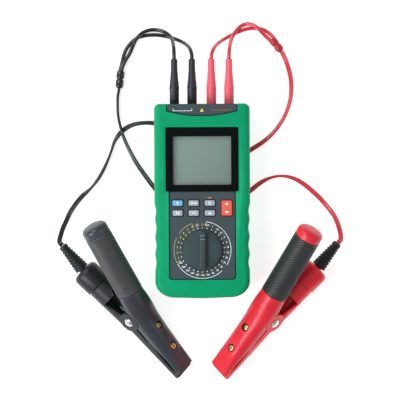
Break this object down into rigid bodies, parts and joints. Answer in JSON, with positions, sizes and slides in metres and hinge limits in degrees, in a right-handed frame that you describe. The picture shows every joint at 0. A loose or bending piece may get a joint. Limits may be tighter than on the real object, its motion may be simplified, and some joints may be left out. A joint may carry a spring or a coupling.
{
  "type": "handheld cable length and low resistance meter",
  "caption": "Handheld remote-sense resistance and cable-length meter in a rubber boot, with selector knob, keys, tilt stand and plug-in Kelvin clamp leads.",
  "frame": {"origin": "bottom centre of the meter without its leads, on the surface it lies on", "axes": "+Z out of the display, +Y towards the end with the input sockets, +X to the right of the display"},
  "size_m": [0.2852, 0.3611, 0.0763],
  "materials": {
    "boot_green": "satin moulded rubber, green",
    "case_grey": "fine-textured dark grey plastic",
    "bezel_black": "polished black",
    "clear_window": "clear flat window",
    "lcd": "grey-green reflective display",
    "circuit": "green circuit board laminate",
    "dark_rubber": "matt",
    "battery": "sleeved dry cells in a black tray",
    "socket_black": "matt black",
    "steel": "bright steel",
    "key_grey": "satin light grey",
    "key_blue": "satin light blue",
    "key_red": "satin coral red",
    "knob_grey": "satin dark grey",
    "stand_grey": "satin dark grey",
    "black_plastic": "semi-gloss moulded black",
    "red_plastic": "semi-gloss moulded red",
    "black_sheath": "satin flexible cable sheath, black",
    "red_sheath": "satin flexible cable sheath, red",
    "grip_rubber": "matt ribbed black rubber",
    "brass": "bright brass",
    "copper": "bare copper"
  },
  "bodies": {
    "meter": {"boot": "boot_green", "front_case": "case_grey", "rear_case": "case_grey", "display_bezel": "bezel_black", "display_lens": "clear_window", "lcd_panel": "lcd", "main_board": "circuit", "keypad_mat": "dark_rubber", "battery_door": "case_grey", "battery_pack": "battery", "jack_block": "socket_black", "door_screw": "steel"},
    "selector": {"selector_knob": "knob_grey", "selector_rotor": "circuit"},
    "stand": {"tilt_stand": "stand_grey"},
    "key_light": {"key_light": "key_blue"},
    "key_mode": {"key_mode": "key_grey"},
    "key_zero": {"key_zero": "key_grey"},
    "key_hold": {"key_hold": "key_grey"},
    "key_range": {"key_range": "key_grey"},
    "key_unit": {"key_unit": "key_grey"},
    "key_up_down": {"key_up_down": "key_red"},
    "black_lead": {"black_plug_a": "black_plastic", "black_pin_a": "brass", "black_wire_a": "black_sheath", "black_plug_b": "black_plastic", "black_pin_b": "brass", "black_wire_b": "black_sheath", "black_splitter": "black_sheath", "black_twin_cable": "black_sheath", "black_strain_relief": "dark_rubber", "black_handle_cap": "black_plastic", "black_lower_jaw": "black_plastic", "black_pivot_pin": "steel", "black_spring": "steel", "black_lower_contact": "copper"},
    "black_lever": {"black_upper_jaw": "black_plastic", "black_grip": "grip_rubber", "black_upper_contact": "copper", "black_screw_rear": "brass", "black_screw_front": "brass"},
    "red_lead": {"red_plug_a": "red_plastic", "red_pin_a": "brass", "red_wire_a": "red_sheath", "red_plug_b": "red_plastic", "red_pin_b": "brass", "red_wire_b": "red_sheath", "red_splitter": "red_sheath", "red_twin_cable": "red_sheath", "red_strain_relief": "dark_rubber", "red_handle_cap": "red_plastic", "red_lower_jaw": "red_plastic", "red_pivot_pin": "steel", "red_spring": "steel", "red_lower_contact": "copper"},
    "red_lever": {"red_upper_jaw": "red_plastic", "red_grip": "grip_rubber", "red_upper_contact": "copper", "red_screw_rear": "brass", "red_screw_front": "brass"}
  },
  "joints": [
    {"name": "selector_turn", "type": "hinge", "parent": "meter", "child": "selector", "pos_m": [0, -0.048, 0.047], "axis": [0, 0, 1], "continuous": true},
    {"name": "key_light_press", "type": "slide", "parent": "meter", "child": "key_light", "axis": [0, 0, -1], "range_m": [0, 0.0012], "stiffness_N_per_m": 600},
    {"name": "key_mode_press", "type": "slide", "parent": "meter", "child": "key_mode", "axis": [0, 0, -1], "range_m": [0, 0.0012], "stiffness_N_per_m": 600},
    {"name": "key_zero_press", "type": "slide", "parent": "meter", "child": "key_zero", "axis": [0, 0, -1], "range_m": [0, 0.0012], "stiffness_N_per_m": 600},
    {"name": "key_hold_press", "type": "slide", "parent": "meter", "child": "key_hold", "axis": [0, 0, -1], "range_m": [0, 0.0012], "stiffness_N_per_m": 600},
    {"name": "key_range_press", "type": "slide", "parent": "meter", "child": "key_range", "axis": [0, 0, -1], "range_m": [0, 0.0012], "stiffness_N_per_m": 600},
    {"name": "key_unit_press", "type": "slide", "parent": "meter", "child": "key_unit", "axis": [0, 0, -1], "range_m": [0, 0.0012], "stiffness_N_per_m": 600},
    {"name": "key_up_down_rock", "type": "hinge", "parent": "meter", "child": "key_up_down", "pos_m": [0.0241, -0.007, 0.044], "axis": [1, 0, 0], "range_deg": [-4, 4], "stiffness_Nm_per_rad": 0.13},
    {"name": "stand_open", "type": "hinge", "parent": "meter", "child": "stand", "pos_m": [0, -0.013, 0.0071], "axis": [1, 0, 0], "range_deg": [0, 55]},
    {"name": "black_lead_pull", "type": "slide", "parent": "meter", "child": "black_lead", "axis": [0, 1, 0], "range_m": [0, 0.014]},
    {"name": "black_clamp_open", "type": "hinge", "parent": "black_lead", "child": "black_lever", "pos_m": [-0.0663, -0.1132, 0.0204], "axis": [-0.5065, -0.5215, 0.6867], "range_deg": [0, 11], "stiffness_Nm_per_rad": 1.2, "springref_deg": -22.92},
    {"name": "red_lead_pull", "type": "slide", "parent": "meter", "child": "red_lead", "axis": [0, 1, 0], "range_m": [0, 0.014]},
    {"name": "red_clamp_open", "type": "hinge", "parent": "red_lead", "child": "red_lever", "pos_m": [0.0636, -0.1142, 0.0211], "axis": [-0.5884, 0.5787, -0.5647], "range_deg": [0, 11], "stiffness_Nm_per_rad": 1.2, "springref_deg": -22.92}
  ]
}
